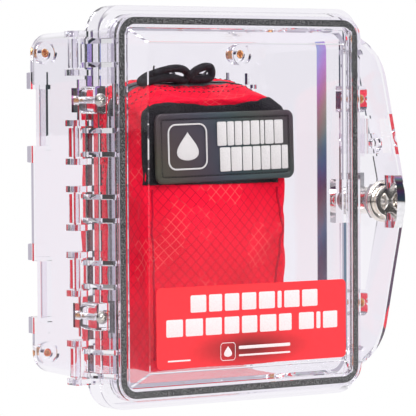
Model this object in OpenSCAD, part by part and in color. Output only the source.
// Wall case with a hinged clear door, a wing-knob lock and a zipped kit pouch.
// Frame: +X right, +Z up, the front faces -Y. The origin is the centre of the rear
// mounting plane, so the whole case lies at negative Y. Units are millimetres.

/* [Case] */
// Width of the flange band
flange_w = 209; // [205:0.5:212]
// Height of the flange band
flange_h = 264.6; // [262:0.2:268]
// Depth from the seal plane to the mounting plane
case_depth = 132; // [126:1:140]
// Width of the tub where it meets the flange
tub_w = 188; // [186:0.5:189]
// Height of the tub where it meets the flange
tub_h = 238; // [236:0.5:240]
// Draft of the tub, taken off each side at the back
tub_draft = 2.2; // [1:0.1:3]
// Wall thickness of the tub
wall = 3.6; // [3:0.1:4.5]

/* [Door] */
// Width of the sealing rectangle, on its centre line
seal_w = 187.2; // [187:0.1:187.4]
// Height of the sealing rectangle, on its centre line
seal_h = 244; // [243.6:0.1:244.4]
// Width of the gasket band
gasket_w = 4.6; // [4:0.1:4.8]
// Width of the window's flat front
window_w = 158; // [150:1:160]
// Height of the window's flat front
window_h = 216; // [208:1:218]
// How far the window stands in front of the land
window_rise = 7.5; // [6:0.5:9]
// Thickness of the door's mouldings
door_wall = 3; // [2.6:0.1:3.2]

/* [Hinge] */
// Distance of the hinge pins from the middle of the case
pin_x = 111.5; // [111:0.1:112]
// Distance of the hinge pins behind the seal plane
pin_back = 30; // [29.5:0.1:30.5]
// Radius of the hinge pins
pin_r = 1.5; // [1.2:0.05:1.8]
// Radial clearance of the pins in the door barrels
pin_gap = 0.06; // [0.02:0.01:0.1]

/* [Latch] */
// Distance of the latch from the middle of the case
latch_x = 115.7; // [115:0.1:116.5]
// Radius of the latch's front ring
bezel_r = 14.5; // [13:0.5:15]
// Radius of the lock barrel
barrel_r = 9.5; // [9:0.1:9.6]
// Length of the wing knob, tip to tip
knob_h = 36; // [32:1:38]

/* [Pouch] */
// Width of the pouch
pouch_w = 113; // [105:1:116]
// Depth of the pouch, front to back
pouch_d = 85; // [80:1:86]
// Height of the pouch at its zipper
pouch_h = 194; // [185:1:196]
// Width of the rubber patch
patch_w = 112; // [100:1:114]
// Height of the rubber patch
patch_h = 46.8; // [42:0.2:50]

/* [Hidden] */

$fn = 64;
clear_pc = [0.86, 0.86, 0.92, 0.45];
eps = 0.02;

// Planes along Y, all counted from the seal plane
seal_y = -case_depth;
land_y = seal_y - 1;
gasket_y = seal_y + 1.6;
gasket_back_y = gasket_y + 3;
skirt_back_y = seal_y + 11.6;
flange_y = seal_y + 12;
flange_back_y = seal_y + 28;
tub_back_y = -4;
window_y = land_y - window_rise;

// Corner radii, all concentric with the seal's corner
seal_r = 10.1;
skirt_out = 4.4;
tongue_t = 2.6;
flange_r = 18;
tub_r = 14;
tub_edge_r = 6;

// Flange channel and its four screw lobes
flange_plate = 3.2;
flange_band = 3;
lobe_z = 70.5;
lobe_x = 104.7;
lobe_tip = 110;
lobe_root = 98.7;
lobe_half = 9;
lobe_y = seal_y + 10;
insert_r = 3.1;
insert_bore_r = 1.65;

// Hinge: five knuckles, each with two ears on the leaf and two arms on the door
knuckle_z = [-101, -43, 0, 43, 101];
pin_y = seal_y + pin_back;
ear_off = 12.55;
ear_t = 4;
arm_off = 7.7;
arm_t = 3.4;
barrel_out_r = 4.6;
barrel_len = 18.8;
leaf_y = flange_back_y + 0.05;

// Rear bosses, pads and foot pockets
panel_x = 79.2;
panel_z = 103.3;
panel_boss_r = 7.8;
panel_boss_y = -14.5;
panel_stud_r = 6;
panel_insert_len = 9;
foot_z = 59;
foot_half = 19.4;
foot_deep_y = -16;
foot_deep_x = 7;
pad_len = 11.8;

// Padlock eye
eye_x = 118.6;
eye_z = 39.5;
eye_r = 4;
eye_floor_y = seal_y + 9;
eye_tab_y = seal_y + 12.6;

// Pouch planes
pouch_front_y = seal_y + 30;
pouch_back_y = pouch_front_y + pouch_d;
zip_back = 38;
zip_y = pouch_front_y + zip_back;
zip_w = 4;
spine_h = 20;
pouch_floor_z = -111.5;
pouch_top_z = pouch_floor_z + pouch_h;
pouch_r = 12;
fabric_t = 2;
loop_h = 57;
loop_z = 42.5;
patch_x = 4;
patch_z = 38.9;
patch_rim = 3;
patch_t = 3;

// Zipper sliders and their cord pulls
slider_y = zip_y + zip_w / 2;
slider_z = pouch_top_z + 0.2;
slider_len = 17;
slider_w = 8;
slider_plate_t = 2.4;
slider_loop_w = 8;
slider_loop_t = 3.2;
slider_loop_top = 6;
slider_left_x = -13.7;
slider_right_x = 8.8;
cord_r = 2;
cord_bend_r = 4.6;
cord_rise = 7.4;

// Latch wing: outline arc and tip
wing_arc_x = 80.7;
wing_arc_z = 76;
wing_arc_r = 39.6;
wing_tip_x = 134;
wing_tip_z = 15;
wing_rim_t = 2.4;

// Window bevels: how far each side spreads per millimetre of depth
side_slope = 11 / 7.5;
top_slope = 0.85 * side_slope;

// Sign on the window
label_w = 152.6;
label_h = 53.2;
label_t = 0.3;
label_x = 1.9;
label_z = -78.6;

// Latch: shaft, knob and cam
shaft_r = 6;
knob_hub_r = 9;
knob_hub_y = land_y - 6.6;
knob_tip_y = land_y - 21.5;
knob_half_t = 3.4;
knob_crown_r = 40;
finger_r = 20;
finger_x = 21.6;
nut_r = 13.4;
nut_t = 4;
cam_y = flange_back_y + 1;
cam_t = 2.6;
cam_r = 8;
cam_reach = 19;
cam_screw_r = 1.58;

// Folded tourniquet inside the pouch
tq_y = zip_y + 18;
tq_half_z = 66;
tq_mid_z = -18;
strap_w = 38;
strap_t = 2.2;
strap_gap = 9;
strap_mid_y = tq_y + strap_gap / 2 + strap_t;
base_h = 104;
windlass_y = tq_y - 8.5;
windlass_r = 4.5;
windlass_h = 116;
clip_h = 12;

// A rounded rectangle, flat
module rounded_rect(w, h, r) {
    square([w - 2 * r, h], center = true);
    square([w, h - 2 * r], center = true);
    for (sx = [-1, 1], sz = [-1, 1])
        translate([sx * (w / 2 - r), sz * (h / 2 - r)])
            circle(r);
}

// Turns a flat X-Z shape into a plate between two planes along Y
module plate(y0, y1) {
    translate([0, y1, 0])
        rotate([90, 0, 0])
            linear_extrude(y1 - y0)
                children();
}

// A rounded frame between two planes, grown outward from the seal's centre line
module seal_frame(outer, inner, y0, y1) {
    plate(y0, y1)
        difference() {
            rounded_rect(seal_w + 2 * outer, seal_h + 2 * outer, seal_r + outer);
            rounded_rect(seal_w + 2 * inner, seal_h + 2 * inner, seal_r + inner);
        }
}

// A solid rounded plate, grown outward from the seal's centre line
module seal_plate(outer, y0, y1) {
    plate(y0, y1)
        rounded_rect(seal_w + 2 * outer, seal_h + 2 * outer, seal_r + outer);
}

// A round bar along +Y
module bar_y(r, y0, y1) {
    translate([0, y0, 0])
        rotate([-90, 0, 0])
            cylinder(r = r, h = y1 - y0);
}

// A block between two corners
module block(a, b) {
    translate(a)
        cube([b[0] - a[0], b[1] - a[1], b[2] - a[2]]);
}

// Drafted tub form with round corners and a round back edge; it starts well in front of y0
module tub_form(inset, y0, y1, edge_r) {
    r = tub_r - inset;
    intersection() {
        hull() {
            for (sx = [-1, 1], sz = [-1, 1]) {
                translate([sx * (tub_w / 2 - tub_r), y0 - tub_r, sz * (tub_h / 2 - tub_r)])
                    sphere(r = r, $fn = 48);
                translate([sx * (tub_w / 2 - tub_r - tub_draft), y1 - edge_r,
                           sz * (tub_h / 2 - tub_r - tub_draft)])
                    rotate([-90, 0, 0])
                        rotate_extrude($fn = 48)
                            translate([r - edge_r, 0])
                                circle(edge_r, $fn = 32);
            }
        }
        block([-tub_w, y0, -tub_h], [tub_w, y1 + 1, tub_h]);
    }
}

// One screw lobe on the flange, at the right, before its hole
module lobe() {
    block([lobe_root, lobe_y, -lobe_half], [lobe_tip - 4, flange_back_y, lobe_half]);
    for (s = [-1, 1])
        translate([lobe_tip - 4, 0, s * (lobe_half - 4)])
            bar_y(4, lobe_y, flange_back_y);
    block([lobe_tip - 8, lobe_y, -lobe_half + 4], [lobe_tip, flange_back_y, lobe_half - 4]);
}

// Channel-shaped flange with its tongue
module flange() {
    difference() {
        plate(flange_y, flange_back_y)
            rounded_rect(flange_w, flange_h, flange_r);
        plate(flange_y + flange_plate, flange_back_y + 1)
            rounded_rect(flange_w - 2 * flange_band, flange_h - 2 * flange_band,
                         flange_r - flange_band);
    }
    seal_frame(tongue_t / 2, -tongue_t / 2, gasket_back_y + 0.05, flange_y + 1);
    for (sx = [0, 1], z = [-lobe_z, lobe_z])
        mirror([sx, 0, 0])
            translate([0, 0, z])
                lobe();
    // Strike pad that the cam turns behind
    block([92, flange_y + 1, -15], [flange_w / 2 - 1, flange_back_y, 15]);
    // Padlock tab
    block([flange_w / 2 - 2, eye_tab_y, eye_z - 7], [eye_x, eye_tab_y + 4, eye_z + 7]);
    translate([eye_x, 0, eye_z])
        bar_y(6.6, eye_tab_y, eye_tab_y + 4);
}

// One rear foot pocket, on the right: its walls inside the tub
module foot_walls(z) {
    x1 = tub_w / 2 - 2 * tub_draft;
    block([x1 - foot_deep_x - 3, foot_deep_y - 3, z - foot_half - 3],
          [x1 - 1, tub_back_y - 1, z + foot_half + 3]);
}

// The recess of one rear foot pocket, on the right
module foot_recess(z) {
    x1 = tub_w / 2 - 2 * tub_draft;
    block([x1 - foot_deep_x, foot_deep_y, z - foot_half], [x1 + 9, 1, z + foot_half]);
}

// Two rounded pads beside one foot pocket, on the right
module rear_pads(z) {
    x1 = tub_w / 2 - 2 * tub_draft - 2;
    for (s = [-1, 1])
        translate([0, 0, z + s * (foot_half + pad_len / 2)]) {
            block([x1 - 14, tub_back_y - 2, -pad_len / 2], [x1, 0, pad_len / 2]);
            translate([x1, 0, 0])
                intersection() {
                    bar_y(pad_len / 2, tub_back_y - 6, 0);
                    block([0, -20, -pad_len / 2], [2.4, 0, pad_len / 2]);
                }
        }
}

// Clear tub with flange, bosses, foot pockets and pads
module body_shell() {
    color(clear_pc)
        difference() {
            union() {
                difference() {
                    union() {
                        tub_form(0, flange_y + 1, tub_back_y, tub_edge_r);
                        flange();
                    }
                    tub_form(wall, flange_y - 30, tub_back_y - wall, tub_edge_r - 2);
                }
                for (sx = [-1, 1], sz = [-1, 1])
                    translate([sx * panel_x, 0, sz * panel_z]) {
                        bar_y(panel_boss_r, panel_boss_y, tub_back_y - 1);
                        bar_y(panel_stud_r, tub_back_y - 2, 0);
                    }
                for (sx = [0, 1], z = [-foot_z, foot_z])
                    mirror([sx, 0, 0]) {
                        foot_walls(z);
                        rear_pads(z);
                    }
            }
            for (sx = [0, 1], z = [-foot_z, foot_z])
                mirror([sx, 0, 0])
                    foot_recess(z);
            for (sx = [-1, 1], sz = [-1, 1])
                translate([sx * panel_x, 0, sz * panel_z])
                    bar_y(insert_r + eps, -panel_insert_len - 0.5, 1);
            for (z = [-lobe_z, lobe_z]) {
                translate([-lobe_x, 0, z])
                    bar_y(2.3, lobe_y - 1, flange_back_y + 1);
                translate([lobe_x, 0, z])
                    bar_y(insert_r + eps, lobe_y - 1, lobe_y + 9);
            }
            translate([eye_x, 0, eye_z])
                bar_y(eye_r, eye_tab_y - 1, eye_tab_y + 5);
        }
}

// Profile of one ear of the hinge leaf, seen along Z
module ear_profile() {
    ear_r = 2.5;
    x0 = -pin_x - 5;
    y0 = pin_y - 6.6;
    y1 = pin_y + 6.5;
    polygon([[x0 + ear_r, y0], [-flange_w / 2 - 0.6, y0], [-flange_w / 2 - 0.6, leaf_y],
             [-97, leaf_y], [-97, y1 - 3], [-100, y1], [x0 + ear_r, y1],
             [x0, y1 - ear_r], [x0, y0 + ear_r]]);
    for (y = [y0 + ear_r, y1 - ear_r])
        translate([x0 + ear_r, y])
            circle(ear_r);
}

// Clear hinge strip with ten ears and two insert bosses
module hinge_leaf() {
    color(clear_pc)
        difference() {
            union() {
                block([-103.9, leaf_y, -116], [-97, leaf_y + 3.4, 116]);
                for (zc = knuckle_z, s = [-1, 1])
                    translate([0, 0, zc + s * ear_off - ear_t / 2])
                        linear_extrude(ear_t)
                            ear_profile();
                for (z = [-lobe_z, lobe_z]) {
                    block([-109.6, leaf_y, z - 8], [-97.2, leaf_y + 10, z + 8]);
                    block([-109.6, leaf_y, z - 13.5], [-97.2, leaf_y + 3, z + 13.5]);
                }
            }
            translate([-pin_x, pin_y, -120])
                cylinder(r = pin_r + 0.02, h = 240);
            for (z = [-lobe_z, lobe_z])
                translate([-lobe_x, 0, z])
                    bar_y(insert_r + eps, leaf_y - 1, leaf_y + 11);
        }
}

// Five short steel pins, one through each knuckle and its two ears
module hinge_pins() {
    pin_len = 2 * ear_off + ear_t;
    color(clear_pc)
        for (zc = knuckle_z)
            translate([-pin_x, pin_y, zc - pin_len / 2])
                cylinder(r = pin_r, h = pin_len);
}

// Two pan-head cross-recess screws
module hinge_screws() {
    head_r = 4.3;
    head_h = 3;
    color([0.85, 0.82, 0.74])
        for (z = [-lobe_z, lobe_z])
            translate([-lobe_x, 0, z])
                difference() {
                    union() {
                        intersection() {
                            translate([0, lobe_y + 1.9, 0])
                                sphere(r = 5.2);
                            bar_y(head_r, lobe_y - head_h - 1, lobe_y);
                        }
                        bar_y(insert_bore_r, lobe_y - 1, leaf_y + 8.5);
                    }
                    for (a = [45, 135])
                        rotate([0, a, 0])
                            block([-2.4, lobe_y - 6, -0.45], [2.4, lobe_y - 1.6, 0.45]);
                }
}

// A knurled insert, as a grooved sleeve along Y
module insert(y0, len) {
    color([0.83, 0.55, 0.28])
        difference() {
            union() {
                bar_y(insert_r - 0.5, y0, y0 + len);
                for (i = [0, 1])
                    bar_y(insert_r, y0 + i * (len - len * 0.4), y0 + i * (len - len * 0.4) + len * 0.4);
            }
            bar_y(insert_bore_r + eps, y0 - 1, y0 + len + 1);
        }
}

// Brass inserts in the hinge leaf's bosses
module hinge_leaf_inserts() {
    for (z = [-lobe_z, lobe_z])
        translate([-lobe_x, 0, z])
            insert(leaf_y + 1, 8);
}

// Spare brass inserts in the right-hand lobes
module flange_inserts() {
    for (z = [-lobe_z, lobe_z])
        translate([lobe_x, 0, z])
            insert(lobe_y + 0.4, 8);
}

// Brass inserts in the four rear bosses, open to the mounting plane
module panel_inserts() {
    for (sx = [-1, 1], sz = [-1, 1])
        translate([sx * panel_x, 0, sz * panel_z])
            insert(-panel_insert_len, panel_insert_len);
}

// A pyramid block with mitred corners, for the window and its hollow
module window_form(w, h, y0, y1) {
    grow_x = (y1 - y0) * side_slope;
    grow_z = (y1 - y0) * top_slope;
    intersection() {
        translate([0, 0, -150])
            linear_extrude(300)
                polygon([[-w / 2, y0], [w / 2, y0], [w / 2 + grow_x, y1], [-w / 2 - grow_x, y1]]);
        translate([-150, 0, 0])
            rotate([90, 0, 90])
                linear_extrude(300)
                    polygon([[y0, -h / 2], [y0, h / 2], [y1, h / 2 + grow_z],
                             [y1, -h / 2 - grow_z]]);
    }
}

// Outline of the latch wing, symmetric about Z = 0, pulled in by inset
function wing_half(inset) = concat(
    [for (a = [72:-6:12]) [wing_arc_x + (wing_arc_r - inset) * cos(a),
                          wing_arc_z + (wing_arc_r - inset) * sin(a)]],
    [[wing_tip_x - 0.9 - inset, wing_tip_z + 4], [wing_tip_x - inset, wing_tip_z]]);
function flip(points) = [for (i = [len(points) - 1:-1:0]) [points[i][0], -points[i][1]]];
module wing_shape(inset) {
    half = wing_half(inset);
    polygon(concat([[90, wing_arc_z + (wing_arc_r - inset) * sin(72)]], half, flip(half),
                   [[90, -wing_arc_z - (wing_arc_r - inset) * sin(72)]]));
}

// Door arm from the left edge to one knuckle, seen along Z
module arm_profile() {
    x1 = -flange_w / 2 - 0.9;
    polygon([[-97, land_y + 2], [-101, land_y + 2], [-108.5, seal_y + 14], [-pin_x + 1, pin_y - 4.4],
             [-pin_x, pin_y], [-pin_x + 4.4, pin_y], [x1, pin_y - 4], [x1, skirt_back_y],
             [-97, skirt_back_y]]);
}

// Barrels and arms of the door
module door_knuckles() {
    for (zc = knuckle_z) {
        translate([-pin_x, pin_y, zc - barrel_len / 2])
            cylinder(r = barrel_out_r, h = barrel_len);
        for (s = [-1, 1])
            translate([0, 0, zc + s * arm_off - arm_t / 2])
                linear_extrude(arm_t)
                    arm_profile();
    }
}

// The part of the wing between two planes and two distances from the middle
module wing_slab(y0, y1, x0, x1) {
    plate(y0, y1)
        intersection() {
            children();
            translate([x0, -140])
                square([x1 - x0, 280]);
        }
}

// The wing's rim, as a flat band
module wing_rim() {
    difference() {
        wing_shape(0);
        wing_shape(wing_rim_t);
    }
}

// Wing on the latch side: front plate, deep rim and the padlock pocket's walls
module door_wing() {
    wing_slab(land_y, seal_y + 2, 95, 140)
        wing_shape(0);
    wing_slab(land_y, flange_back_y, 108, 140)
        wing_rim();
    wing_slab(land_y, skirt_back_y, 97, 109)
        wing_rim();
    plate(land_y + 1, eye_floor_y + 2.6)
        intersection() {
            wing_shape(0);
            translate([102, eye_z - 8.5])
                square([30, 28]);
        }
}

// Cut for the padlock pocket, open to the front
module eye_pocket() {
    plate(land_y - 1, eye_floor_y)
        polygon([[104, 33], [104, 57], [121, 57], [124, 33]]);
    translate([eye_x, 0, eye_z])
        bar_y(eye_r, eye_floor_y - 1, eye_floor_y + 5);
}

// Clear door moulding
module door_shell() {
    color(clear_pc)
        difference() {
            union() {
                difference() {
                    union() {
                        seal_plate(skirt_out - 1, land_y, seal_y + 1);
                        seal_plate(skirt_out, seal_y, skirt_back_y);
                        window_form(window_w, window_h, window_y, land_y + 1);
                        door_wing();
                    }
                    seal_plate(gasket_w / 2 + eps, gasket_y, skirt_back_y + 1);
                    window_form(window_w - 1.6, window_h - 1.6, window_y + door_wall,
                                gasket_y + 1);
                }
                seal_frame(-gasket_w / 2 - eps, -gasket_w / 2 - 2, gasket_y - 0.5, gasket_back_y);
                door_knuckles();
            }
            translate([-pin_x, pin_y, -120])
                cylinder(r = pin_r + pin_gap, h = 240);
            for (z = [-lobe_z, lobe_z])
                block([-104, seal_y + 6, z - 10.5], [-95.5, skirt_back_y + 1, z + 10.5]);
            translate([latch_x, 0, 0])
                bar_y(barrel_r + eps, land_y - 1, seal_y + 3);
            eye_pocket();
        }
}

// Foam seal in the door's channel
module gasket() {
    color([0.2, 0.21, 0.22])
        seal_frame(gasket_w / 2, -gasket_w / 2, gasket_y + eps, gasket_back_y);
}

// Sign stuck to the window's flat front
module label() {
    color([0.95, 0.15, 0.2])
        translate([label_x, 0, label_z])
            plate(window_y - eps - label_t, window_y - eps)
                rounded_rect(label_w, label_h, 3.5);
}

// Latch ring and barrel, turned about Y
module latch_bezel() {
    color([0.8, 0.78, 0.74])
        translate([latch_x, 0, 0])
            difference() {
                union() {
                    bar_y(bezel_r, land_y - 2.4, land_y - eps);
                    bar_y(bezel_r - 1, land_y - 3.4, land_y - 2);
                    bar_y(10.4, land_y - 6.4, land_y - 2);
                    bar_y(barrel_r, land_y - 2, seal_y + 24);
                }
                bar_y(shaft_r + 0.05, land_y - 8, seal_y + 25);
            }
}

// Nut that clamps the barrel behind the wing
module latch_nut() {
    color("silver")
        translate([latch_x, 0, 0])
            difference() {
                translate([0, seal_y + 2 + eps, 0])
                    rotate([-90, 0, 0])
                        cylinder(r = nut_r, h = nut_t, $fn = 6);
                bar_y(barrel_r + eps, seal_y, seal_y + 8);
            }
}

// Wing knob with its shaft
module wing_knob() {
    color([0.8, 0.8, 0.82])
        translate([latch_x, 0, 0])
            difference() {
                union() {
                    bar_y(knob_hub_r, knob_hub_y - 2, knob_hub_y);
                    bar_y(shaft_r, knob_hub_y - 1, seal_y + 29);
                    intersection() {
                        block([-knob_half_t, knob_tip_y, -knob_h / 2],
                              [knob_half_t, knob_hub_y - 0.5, knob_h / 2]);
                        translate([-10, knob_tip_y + knob_crown_r, 0])
                            rotate([0, 90, 0])
                                cylinder(r = knob_crown_r, h = 20, $fn = 128);
                    }
                }
                for (s = [-1, 1])
                    translate([s * finger_x, knob_tip_y + 9, 0])
                        cylinder(r = finger_r, h = 26, center = true, $fn = 128);
                bar_y(cam_screw_r + eps, seal_y + 21, seal_y + 30);
            }
}

// Cam that turns behind the strike pad; at rest it points up, clear of the flange
module latch_cam() {
    color("lightgray")
        translate([latch_x, 0, 0])
            difference() {
                union() {
                    bar_y(cam_r, cam_y + eps, cam_y + cam_t);
                    block([-6, cam_y + eps, 0], [6, cam_y + cam_t, cam_reach]);
                }
                bar_y(2.2, cam_y - 1, cam_y + 4);
            }
}

// Screw that holds the cam on the shaft
module cam_screw() {
    color("silver")
        translate([latch_x, 0, 0])
            difference() {
                union() {
                    bar_y(3.8, cam_y + cam_t + eps, cam_y + 5);
                    bar_y(cam_screw_r, seal_y + 22, cam_y + 3);
                }
                for (a = [0, 90])
                    rotate([0, a, 0])
                        block([-2.2, cam_y + 3.6, -0.4], [2.2, cam_y + 6, 0.4]);
            }
}

// Soft box with round upright corners and stepped front and back edges
module soft_box(w, y0, y1, z0, z1, r) {
    step = r / 3;
    translate([0, 0, (z0 + z1) / 2]) {
        plate(y0, y1)
            rounded_rect(w - 2 * step, z1 - z0 - 2 * step, r - step);
        plate(y0 + step, y1 - step)
            rounded_rect(w, z1 - z0, r);
    }
}

// Hollow fabric box of the whole pouch
module pouch_wall() {
    difference() {
        soft_box(pouch_w, pouch_front_y, pouch_back_y, pouch_floor_z, pouch_top_z, pouch_r);
        soft_box(pouch_w - 2 * fabric_t, pouch_front_y + fabric_t, pouch_back_y - fabric_t,
                 pouch_floor_z + fabric_t, pouch_top_z - fabric_t, pouch_r - fabric_t);
    }
}

// Front half of the pouch
module pouch_front() {
    color([0.85, 0.1, 0.17])
        intersection() {
            pouch_wall();
            block([-70, pouch_front_y - 1, -130], [70, zip_y - eps, 120]);
        }
}

// Rear half of the pouch, with the spine under the zipper
module pouch_back() {
    color([0.75, 0.08, 0.15])
        intersection() {
            pouch_wall();
            union() {
                block([-70, zip_y + zip_w + eps, -130], [70, pouch_back_y + 1, 120]);
                block([-70, zip_y + eps, -130], [70, pouch_back_y + 1, pouch_floor_z + spine_h]);
            }
        }
}

// Zipper over the top and down both sides
module zipper_tape() {
    color([0.2, 0.2, 0.22])
        intersection() {
            pouch_wall();
            block([-70, zip_y + eps, pouch_floor_z + spine_h + eps],
                  [70, zip_y + zip_w - eps, 120]);
        }
}

// One zipper slider above the tape, centred at x, with an eye for its pull
module slider(x) {
    color([0.12, 0.12, 0.13])
        translate([x, slider_y, slider_z]) {
            block([-slider_len / 2, -slider_w / 2, 0], [slider_len / 2, slider_w / 2, slider_plate_t]);
            difference() {
                block([-slider_loop_w / 2, -slider_loop_t / 2, slider_plate_t - 0.4],
                      [slider_loop_w / 2, slider_loop_t / 2, slider_loop_top]);
                translate([0, -3, slider_plate_t + 1.5])
                    rotate([-90, 0, 0])
                        cylinder(r = 1.3, h = 6, $fn = 32);
            }
        }
}
module slider_left() {
    slider(slider_left_x);
}
module slider_right() {
    slider(slider_right_x);
}

// One cord pull lying over the top of the pouch, a loop of round cord in front of a slider
module cord(x, len, tilt) {
    color([0.1, 0.1, 0.11])
        translate([x, slider_y - slider_w / 2 - 0.4 - cord_r, slider_z + cord_rise])
            rotate([0, tilt, 0]) {
                for (s = [-1, 1])
                    translate([s * cord_bend_r, 0, 0])
                        cylinder(r = cord_r, h = len);
                translate([0, 0, len])
                    rotate([90, 0, 0])
                        rotate_extrude(angle = 180)
                            translate([cord_bend_r, 0])
                                circle(cord_r, $fn = 32);
                rotate([-90, 0, 0])
                    rotate_extrude(angle = 180)
                        translate([cord_bend_r, 0])
                            circle(cord_r, $fn = 32);
            }
}
module cord_left() {
    cord(slider_left_x + 4.7, 26, -86);
}
module cord_right() {
    cord(slider_right_x - 3.8, 6, 50);
}

// Hook-and-loop panel sewn to the pouch front
module loop_panel() {
    color([0.12, 0.12, 0.13])
        translate([0, 0, loop_z])
            plate(pouch_front_y - 1.3, pouch_front_y - 0.1)
                rounded_rect(pouch_w - 4, loop_h, 3);
}

// Rubber patch with a raised border
module patch() {
    patch_y = pouch_front_y - 1.4;
    color([0.22, 0.25, 0.24])
        translate([patch_x, 0, patch_z])
            difference() {
                plate(patch_y - patch_t, patch_y)
                    rounded_rect(patch_w, patch_h, 3);
                plate(patch_y - patch_t - 1, patch_y - patch_t + 0.8)
                    rounded_rect(patch_w - 2 * patch_rim, patch_h - 2 * patch_rim, 1.5);
            }
}

// Folded strap: a flat loop of webbing
module tourniquet_strap() {
    color([0.1, 0.1, 0.11])
        translate([-strap_w / 2, strap_mid_y, tq_mid_z])
            rotate([90, 0, 90])
                linear_extrude(strap_w)
                    difference() {
                        rounded_rect(strap_gap + 2 * strap_t, 2 * tq_half_z,
                                     strap_gap / 2 + strap_t - 0.4);
                        rounded_rect(strap_gap, 2 * (tq_half_z - strap_t), strap_gap / 2 - 0.4);
                    }
}

// Stiff base plate in front of the strap
module tourniquet_base() {
    color([0.15, 0.15, 0.16])
        translate([0, 0, tq_mid_z])
            plate(tq_y - 2.2, tq_y - 0.2)
                rounded_rect(strap_w, base_h, 6);
}

// Windlass rod in front of the base plate, held up by the clip
module tourniquet_windlass() {
    color([0.1, 0.1, 0.1])
        translate([0, windlass_y, tq_mid_z - windlass_h / 2]) {
            cylinder(r = windlass_r, h = windlass_h);
            sphere(r = windlass_r);
            translate([0, 0, windlass_h])
                sphere(r = windlass_r);
        }
}

// Open clip that holds the end of the windlass
module windlass_clip() {
    bore_r = windlass_r + 0.2;
    clip_r = bore_r + 1.5;
    color([0.15, 0.15, 0.16])
        translate([0, windlass_y, tq_mid_z + 30])
            difference() {
                union() {
                    cylinder(r = clip_r, h = clip_h);
                    block([-12, bore_r, 0], [12, clip_r, clip_h]);
                }
                translate([0, 0, -1])
                    cylinder(r = bore_r, h = clip_h + 2);
                block([-3.2, -8, -1], [3.2, -3, clip_h + 1]);
            }
}

// Buckle frame in the fold at the bottom of the strap, with its centre bar
module tourniquet_buckle() {
    color([0.12, 0.12, 0.12])
        translate([0, strap_mid_y, tq_mid_z - tq_half_z + 9])
            plate(-2, 2)
                difference() {
                    rounded_rect(48, 34, 4);
                    for (s = [-1, 1])
                        translate([0, s * 8])
                            square([strap_w + 1.6, 9.6], center = true);
                }
}

// Flat-packed gauze in the front half
module gauze_pack() {
    color([0.9, 0.9, 0.86])
        translate([0, 0, -40])
            soft_box(84, pouch_front_y + 6, pouch_front_y + 32, -55, 55, 6);
}

body_shell();
hinge_leaf();
hinge_pins();
hinge_screws();
hinge_leaf_inserts();
flange_inserts();
panel_inserts();
door_shell();
gasket();
label();
latch_bezel();
latch_nut();
wing_knob();
latch_cam();
cam_screw();
pouch_front();
pouch_back();
zipper_tape();
slider_left();
slider_right();
cord_left();
cord_right();
loop_panel();
patch();
tourniquet_strap();
tourniquet_base();
tourniquet_windlass();
windlass_clip();
tourniquet_buckle();
gauze_pack();
